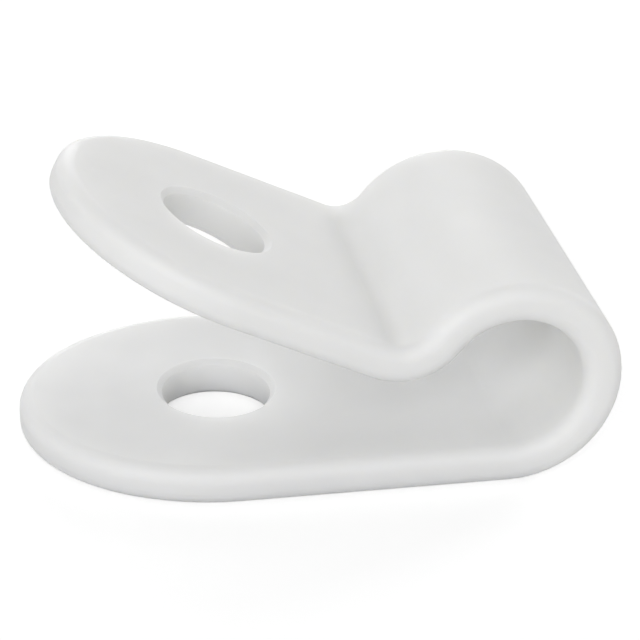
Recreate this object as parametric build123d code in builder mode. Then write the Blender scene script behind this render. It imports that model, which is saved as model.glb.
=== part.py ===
"""P-shaped cable clamp, moulded in one piece from natural nylon, in millimetres.

A flat strap leaves the lower screw flange, rolls round the cable as a loop, bends
back through a tight neck and ends in the upper screw flange, which stands open as
it does before a screw draws the two flanges together.

The frame: X runs along the lower flange towards the loop, Y runs along the cable,
Z is up. The origin is the middle of the lower screw hole, on the underside.
"""
import os
from build123d import *

# Strap
strap_width = 12.7
strap_thickness = 1.5
edge_radius = 0.55

# Cable loop
bore_diameter = 5.3
loop_sweep = 234.0

# Neck and opening
neck_radius = 1.2
flange_opening = 25.0

# Flanges
lower_hole_to_bore = 10.2
lower_hole_to_tip = 7.6
upper_hole_to_neck = 6.0

# Screw holes
screw_hole_diameter = 4.2
hole_rim_chamfer = 0.2

# Sizes that follow
half_thickness = strap_thickness / 2
half_width = strap_width / 2
loop_radius = bore_diameter / 2 + half_thickness
bend_radius = neck_radius + half_thickness
neck_sweep = loop_sweep - (180.0 - flange_opening)


def rolled_side(outward):
    """One face of the rolled strip, `outward` from its middle line: the loop, then the neck."""
    start = (lower_hole_to_bore, half_thickness - outward)
    loop = JernArc(start, (1, 0), loop_radius + outward, loop_sweep)
    return JernArc(loop @ 1, loop % 1, bend_radius - outward, -neck_sweep)


# The lower flange's root is under the bore, the upper one's is where the neck ends
with BuildLine(Plane.XZ) as middle_line:
    neck = rolled_side(0)
upper_run = neck % 1
lower_root = Plane(origin=(lower_hole_to_bore, 0, half_thickness), x_dir=(-1, 0, 0), z_dir=(0, 0, 1))
upper_root = Plane(origin=neck @ 1, x_dir=upper_run, z_dir=Vector(0, 1, 0).cross(upper_run))

with BuildPart() as cable_clamp:
    # Loop and neck, rolled about the cable's axis
    with BuildSketch(Plane.XZ):
        with BuildLine():
            outer = rolled_side(half_thickness)
            inner = rolled_side(-half_thickness)
            Line(outer @ 1, inner @ 1)
            Line((lower_hole_to_bore, 0), (lower_hole_to_bore, strap_thickness))
        make_face()
    extrude(amount=half_width, both=True)

    # Lower flange, flat on its seat, with a half-oval end about its hole
    with BuildSketch(lower_root):
        with Locations((lower_hole_to_bore / 2, 0)):
            Rectangle(lower_hole_to_bore, strap_width)
        with Locations((lower_hole_to_bore, 0)):
            Ellipse(lower_hole_to_tip, half_width, rotation=180)
    extrude(amount=half_thickness, both=True)

    # Upper flange, in line with the end of the neck, with a half-round end about its hole
    with BuildSketch(upper_root):
        with Locations((upper_hole_to_neck / 2, 0)):
            Rectangle(upper_hole_to_neck, strap_width)
        with Locations((upper_hole_to_neck, 0)):
            Circle(half_width)
    extrude(amount=half_thickness, both=True)

    # All round the strap the edges are rounded, as the mould leaves them
    sides = cable_clamp.faces().filter_by(Axis.Y).edges()
    end_seams = sides.filter_by(Axis.Z) + sides.filter_by(Axis(neck @ 1, upper_root.z_dir))
    fillet([edge for edge in sides if edge not in end_seams], edge_radius)

    # Screw holes, square to their flanges
    lower_hole = Plane(origin=(0, 0, strap_thickness), z_dir=lower_root.z_dir)
    upper_hole = Plane(
        origin=neck @ 1 + upper_run * upper_hole_to_neck + upper_root.z_dir * half_thickness,
        z_dir=upper_root.z_dir,
    )
    with Locations(lower_hole, upper_hole):
        Hole(screw_hole_diameter / 2, depth=strap_thickness)
    chamfer(cable_clamp.edges(Select.LAST).filter_by(GeomType.CIRCLE), hole_rim_chamfer)

cable_clamp.part.label = "cable_clamp"

os.makedirs("parts", exist_ok=True)
export_step(cable_clamp.part, "parts/cable_clamp.step")
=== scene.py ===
import math

import bpy
from mathutils import Matrix, Vector


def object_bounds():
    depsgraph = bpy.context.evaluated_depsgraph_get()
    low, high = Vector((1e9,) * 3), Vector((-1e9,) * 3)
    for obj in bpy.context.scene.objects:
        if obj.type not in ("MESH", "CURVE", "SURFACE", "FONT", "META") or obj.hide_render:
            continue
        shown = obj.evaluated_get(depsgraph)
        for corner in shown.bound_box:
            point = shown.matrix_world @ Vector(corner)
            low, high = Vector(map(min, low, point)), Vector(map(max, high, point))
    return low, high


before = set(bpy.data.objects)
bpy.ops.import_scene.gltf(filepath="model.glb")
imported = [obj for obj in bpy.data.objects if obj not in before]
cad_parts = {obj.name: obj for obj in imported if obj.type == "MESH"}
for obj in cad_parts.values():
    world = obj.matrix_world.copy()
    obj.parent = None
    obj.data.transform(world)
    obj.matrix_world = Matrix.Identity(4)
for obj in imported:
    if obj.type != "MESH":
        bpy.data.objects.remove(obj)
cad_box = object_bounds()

# A P-shaped cable clamp of uncoloured nylon, one moulded piece that stands open on its
# lower flange. Everything is in metres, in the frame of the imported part.

MM = 0.001

# The camera, as the photograph was taken: how far it is turned to the part's left, how
# high it looks down from, how it is tilted, and what it looks at
IMAGE_PIXELS = 640
SENSOR_MM = 36.0
VIEW_TURN = math.radians(12.45)
VIEW_RISE = math.radians(28.12)
VIEW_ROLL = math.radians(1.99)
VIEW_TARGET = Vector((4.03, 0.0, 4.148)) * MM
VIEW_DISTANCE = 101.8 * MM
FOCAL_PIXELS = 2637.0
CLIP_NEAR = 1.0 * MM
CLIP_FAR = 10.0

# Floor and surround. Both look white to the camera, and light the part at a plain level.
WORLD_LEVEL = 0.32
WORLD_SEEN = 1.0
FLOOR_COLOUR = (0.75, 0.75, 0.75, 1.0)
FLOOR_GLOW = 0.48
FLOOR_HALF_SIDE = 1.5
FLOOR_GAP = 0.005 * MM

# Soft lamps: where each one stands and the side of its square, in millimetres, and its watts
SOFTBOXES = {
    "front": ((-240, -1010, 600), 700, 6.1),
    "left_front": ((-800, -800, 400), 200, 2.6),
    "left_back": ((-600, 950, 400), 500, 2.1),
    "right_back": ((925, 615, 455), 400, 3.5),
    "back": ((115, 1145, 345), 500, 4.2),
}

# Nylon: its two tones, how far light soaks in for red, green and blue, and its satin gloss
NYLON_PALE = (0.809, 0.811, 0.806, 1.0)
NYLON_CLOUD = (0.789, 0.791, 0.786, 1.0)
NYLON_IOR = 1.53
SOAK_DEPTH = 2.0 * MM
SOAK_SHARES = (1.0, 0.98, 0.90)
ROUGHNESS = (0.54, 0.66)

# Noise: cells to the metre, layers of finer detail, and how much each finer layer counts
CLOUD_NOISE = (260.0, 3.0, 0.55)
POLISH_NOISE = (700.0, 2.0, 0.5)
WAVE_NOISE = (420.0, 1.0, 0.4)
GRAIN_NOISE = (9000.0, 2.0, 0.6)
NOISE_MIDDLE = (0.3, 0.7)

# Relief of the skin: strength and depth
WAVE_RELIEF = (0.15, 0.02 * MM)
GRAIN_RELIEF = (0.25, 0.004 * MM)

# Where Blender's Mix node keeps its factor, its two colours and the mixed colour
MIX_FACTOR, MIX_COLOUR_A, MIX_COLOUR_B = 0, 6, 7
MIX_COLOUR_OUT = 2


def input_of(node, name, value):
    """Sets one of a node's inputs by name."""
    node.inputs[name].default_value = value


def new_material(name):
    """An empty node material, its node tree and its output."""
    material = bpy.data.materials.new(name)
    material.use_nodes = True
    tree = material.node_tree
    tree.nodes.clear()
    output = tree.nodes.new("ShaderNodeOutputMaterial")
    return material, tree, output


def noise(tree, place, kind):
    """A noise over the part's own metres."""
    scale, detail, roughness = kind
    node = tree.nodes.new("ShaderNodeTexNoise")
    input_of(node, "Scale", scale)
    input_of(node, "Detail", detail)
    input_of(node, "Roughness", roughness)
    tree.links.new(place, node.inputs["Vector"])
    return node.outputs["Fac"]


def spread(tree, source, low, high):
    """Maps a noise's middle range to low..high."""
    node = tree.nodes.new("ShaderNodeMapRange")
    input_of(node, "From Min", NOISE_MIDDLE[0])
    input_of(node, "From Max", NOISE_MIDDLE[1])
    input_of(node, "To Min", low)
    input_of(node, "To Max", high)
    tree.links.new(source, node.inputs["Value"])
    return node.outputs["Result"]


def relief(tree, height, kind, under=None):
    """The skin's direction where a noise raises it, on top of the relief `under`."""
    strength, depth = kind
    node = tree.nodes.new("ShaderNodeBump")
    input_of(node, "Strength", strength)
    input_of(node, "Distance", depth)
    tree.links.new(height, node.inputs["Height"])
    if under is not None:
        tree.links.new(under, node.inputs["Normal"])
    return node.outputs["Normal"]


def natural_nylon():
    """Milky, uncoloured nylon: light soaks in, and the skin has a satin gloss and a fine grain."""
    material, tree, output = new_material("natural_nylon")
    place = tree.nodes.new("ShaderNodeTexCoord").outputs["Object"]
    skin = tree.nodes.new("ShaderNodeBsdfPrincipled")
    input_of(skin, "IOR", NYLON_IOR)
    input_of(skin, "Subsurface Weight", 1.0)
    input_of(skin, "Subsurface Radius", SOAK_SHARES)
    input_of(skin, "Subsurface Scale", SOAK_DEPTH)

    # Cloudy patches where the melt cooled at different rates
    cloud = noise(tree, place, CLOUD_NOISE)
    blend = tree.nodes.new("ShaderNodeMix")
    blend.data_type = "RGBA"
    blend.inputs[MIX_COLOUR_A].default_value = NYLON_CLOUD
    blend.inputs[MIX_COLOUR_B].default_value = NYLON_PALE
    tree.links.new(spread(tree, cloud, 0.0, 1.0), blend.inputs[MIX_FACTOR])
    tree.links.new(blend.outputs[MIX_COLOUR_OUT], skin.inputs["Base Color"])

    # Gloss that wanders a little over the skin
    polish = noise(tree, place, POLISH_NOISE)
    tree.links.new(spread(tree, polish, *ROUGHNESS), skin.inputs["Roughness"])

    # Shallow waves of the moulding under a fine grain
    waves = relief(tree, noise(tree, place, WAVE_NOISE), WAVE_RELIEF)
    grain = relief(tree, noise(tree, place, GRAIN_NOISE), GRAIN_RELIEF, waves)
    tree.links.new(grain, skin.inputs["Normal"])

    tree.links.new(skin.outputs["BSDF"], output.inputs["Surface"])
    return material


def seen_directly(tree):
    """1 for rays from the camera, reflected or refracted, 0 for rays that light the part."""
    path = tree.nodes.new("ShaderNodeLightPath")
    total = path.outputs["Is Camera Ray"]
    for name in ("Is Glossy Ray", "Is Transmission Ray"):
        node = tree.nodes.new("ShaderNodeMath")
        node.operation = "MAXIMUM"
        tree.links.new(total, node.inputs[0])
        tree.links.new(path.outputs[name], node.inputs[1])
        total = node.outputs[0]
    return total


def paper_floor():
    """Pale paper that shows as white but keeps the part's soft shadow."""
    material, tree, output = new_material("floor_paper")
    paper = tree.nodes.new("ShaderNodeBsdfDiffuse")
    input_of(paper, "Color", FLOOR_COLOUR)
    glow = tree.nodes.new("ShaderNodeEmission")
    level = tree.nodes.new("ShaderNodeMath")
    level.operation = "MULTIPLY"
    level.inputs[1].default_value = FLOOR_GLOW
    tree.links.new(seen_directly(tree), level.inputs[0])
    tree.links.new(level.outputs[0], glow.inputs["Strength"])
    both = tree.nodes.new("ShaderNodeAddShader")
    tree.links.new(paper.outputs[0], both.inputs[0])
    tree.links.new(glow.outputs[0], both.inputs[1])
    tree.links.new(both.outputs[0], output.inputs["Surface"])
    return material


def add_floor():
    """A wide flat floor just under the part's seat."""
    half = FLOOR_HALF_SIDE
    height = cad_box[0][2] - FLOOR_GAP
    corners = [
        (x, y, height)
        for x, y in ((-half, -half), (half, -half), (half, half), (-half, half))
    ]
    mesh = bpy.data.meshes.new("floor")
    mesh.from_pydata(corners, [], [(0, 1, 2, 3)])
    mesh.materials.append(paper_floor())
    floor = bpy.data.objects.new("floor", mesh)
    bpy.context.scene.collection.objects.link(floor)


def add_world():
    """An even white surround, which the camera sees as plain white."""
    world = bpy.data.worlds.new("studio")
    world.use_nodes = True
    bpy.context.scene.world = world
    tree = world.node_tree
    tree.nodes.clear()
    output = tree.nodes.new("ShaderNodeOutputWorld")
    sky = tree.nodes.new("ShaderNodeBackground")
    input_of(sky, "Color", (1.0, 1.0, 1.0, 1.0))
    level = tree.nodes.new("ShaderNodeMapRange")
    input_of(level, "To Min", WORLD_LEVEL)
    input_of(level, "To Max", WORLD_SEEN)
    tree.links.new(seen_directly(tree), level.inputs["Value"])
    tree.links.new(level.outputs["Result"], sky.inputs["Strength"])
    tree.links.new(sky.outputs[0], output.inputs["Surface"])


def add_softbox(name, place_mm, side_mm, watts):
    """A square soft lamp that faces the part."""
    light = bpy.data.lights.new(name, "AREA")
    light.shape = "SQUARE"
    light.size = side_mm * MM
    light.energy = watts
    lamp = bpy.data.objects.new(name, light)
    lamp.location = Vector(place_mm) * MM
    lamp.rotation_euler = (VIEW_TARGET - lamp.location).to_track_quat("-Z", "Y").to_euler()
    bpy.context.scene.collection.objects.link(lamp)


def add_camera():
    """The photograph's camera: its direction, its roll and its focal length."""
    back = Vector((
        -math.sin(VIEW_TURN) * math.cos(VIEW_RISE),
        -math.cos(VIEW_TURN) * math.cos(VIEW_RISE),
        math.sin(VIEW_RISE),
    ))
    level_right = Vector((math.cos(VIEW_TURN), -math.sin(VIEW_TURN), 0.0))
    level_up = back.cross(level_right)
    right = math.cos(VIEW_ROLL) * level_right + math.sin(VIEW_ROLL) * level_up
    up = math.cos(VIEW_ROLL) * level_up - math.sin(VIEW_ROLL) * level_right
    data = bpy.data.cameras.new("camera")
    data.sensor_width = SENSOR_MM
    data.lens = FOCAL_PIXELS / IMAGE_PIXELS * SENSOR_MM
    data.clip_start = CLIP_NEAR
    data.clip_end = CLIP_FAR
    camera = bpy.data.objects.new("camera", data)
    camera.matrix_world = Matrix.Translation(VIEW_TARGET + back * VIEW_DISTANCE) @ Matrix((
        (right.x, up.x, back.x, 0.0),
        (right.y, up.y, back.y, 0.0),
        (right.z, up.z, back.z, 0.0),
        (0.0, 0.0, 0.0, 1.0),
    ))
    bpy.context.scene.collection.objects.link(camera)
    bpy.context.scene.camera = camera


add_camera()
add_world()
add_floor()
for lamp_name, (place, side, watts) in SOFTBOXES.items():
    add_softbox(lamp_name, place, side, watts)

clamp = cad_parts["cable_clamp"]
clamp.data.materials.clear()
clamp.data.materials.append(natural_nylon())

bpy.context.scene.view_settings.view_transform = "Standard"
